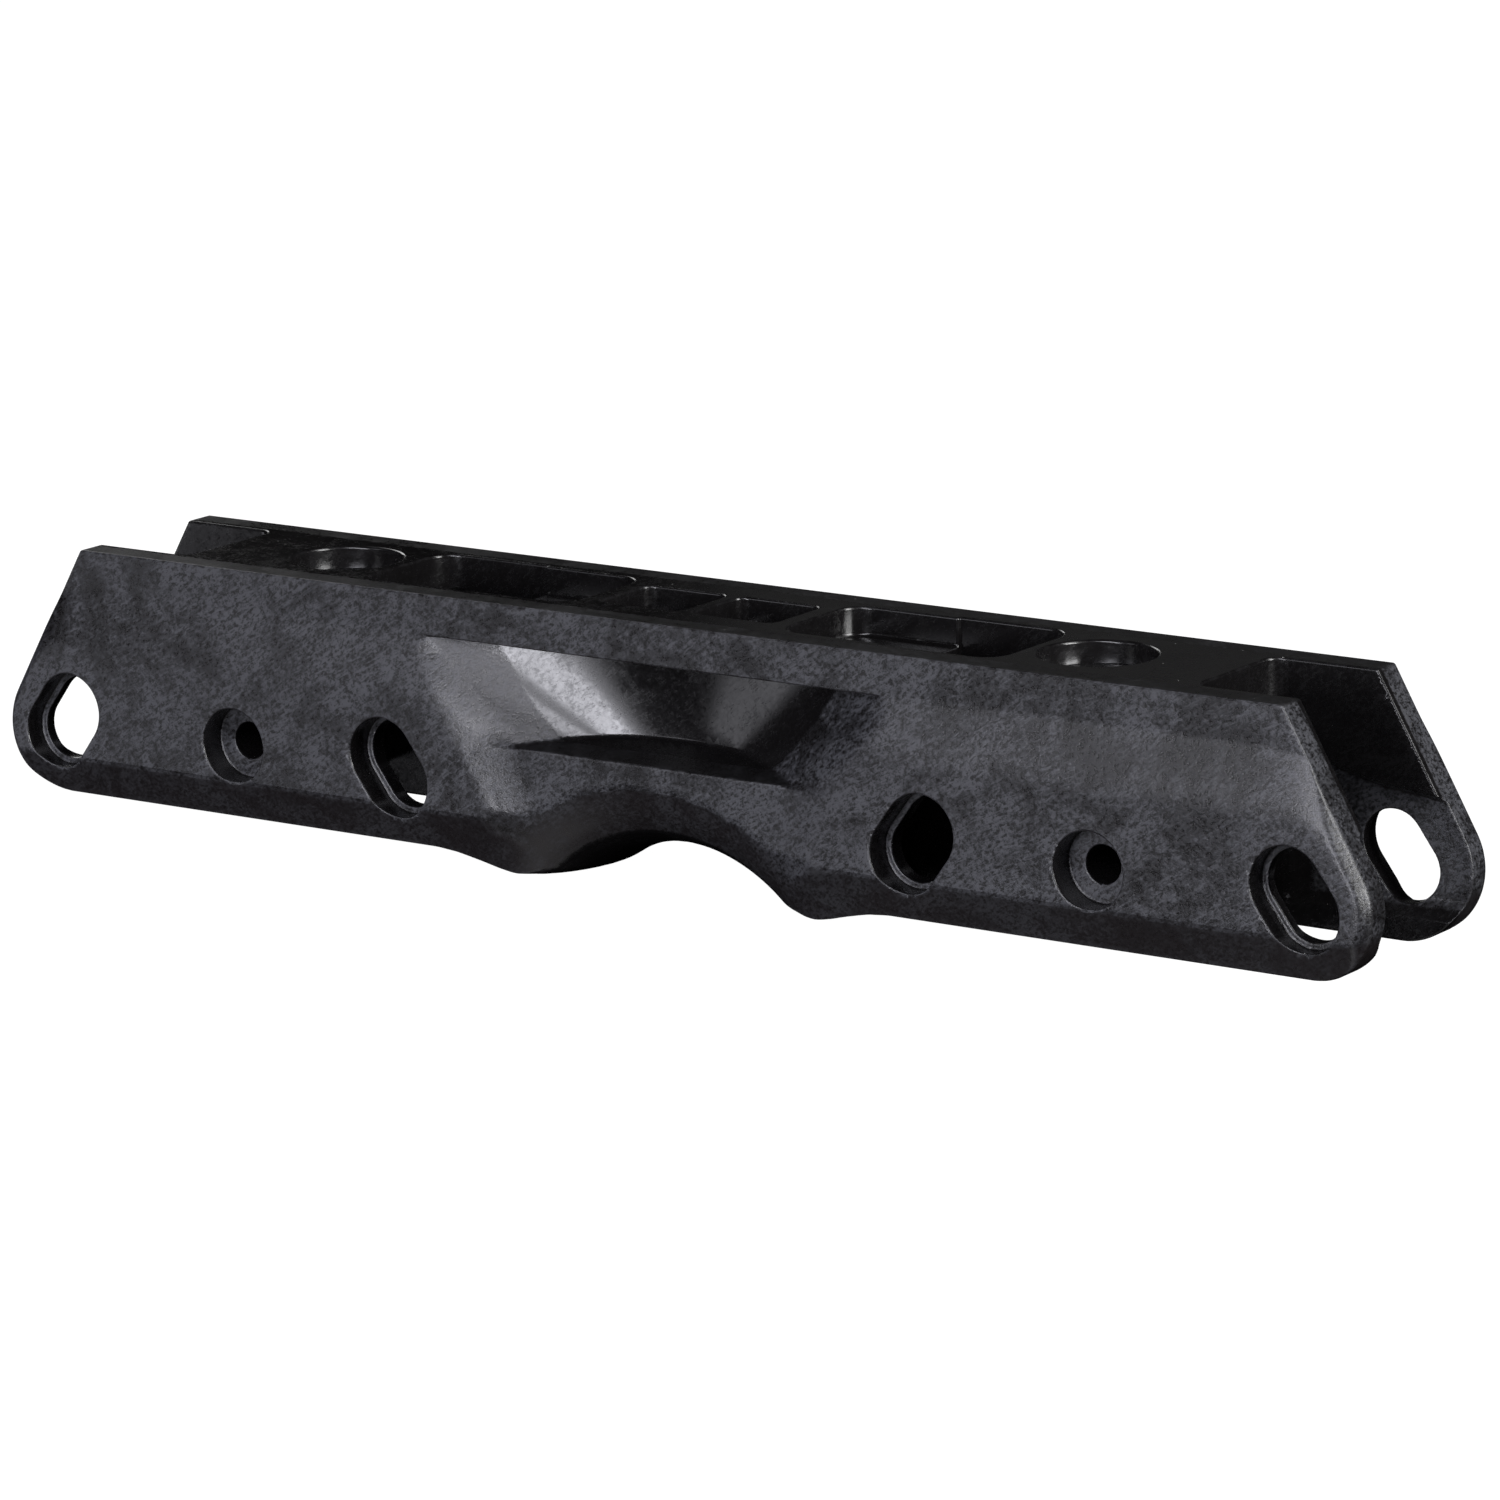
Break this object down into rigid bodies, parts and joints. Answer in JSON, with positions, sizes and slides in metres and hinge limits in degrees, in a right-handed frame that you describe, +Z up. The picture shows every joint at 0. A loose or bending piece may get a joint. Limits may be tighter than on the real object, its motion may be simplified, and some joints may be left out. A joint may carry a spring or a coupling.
{
  "type": "inline skate frame",
  "caption": "Moulded black inline skate frame with a waisted centre grind block, slanted axle slots, lightening pockets in the deck and recessed boot-bolt washers over captive nuts.",
  "frame": {"origin": "On the floor plane, under the middle of the frame: the two feet of the grind block reach z = 0", "axes": "+X along the frame, towards the end that is nearer in the picture; +Y across it; +Z up, out of the deck that carries the boot"},
  "size_m": [0.2974, 0.044, 0.0512],
  "materials": {
    "frame_plastic": "semi-gloss black glass-filled nylon with faint cloudy flow marks",
    "washer_steel": "zinc plated",
    "nut_steel": "zinc plated"
  },
  "bodies": {
    "root": {"frame_body": "frame_plastic", "front_mount_washer": "washer_steel", "rear_mount_washer": "washer_steel", "front_mount_nut": "nut_steel", "rear_mount_nut": "nut_steel"}
  },
  "joints": []
}
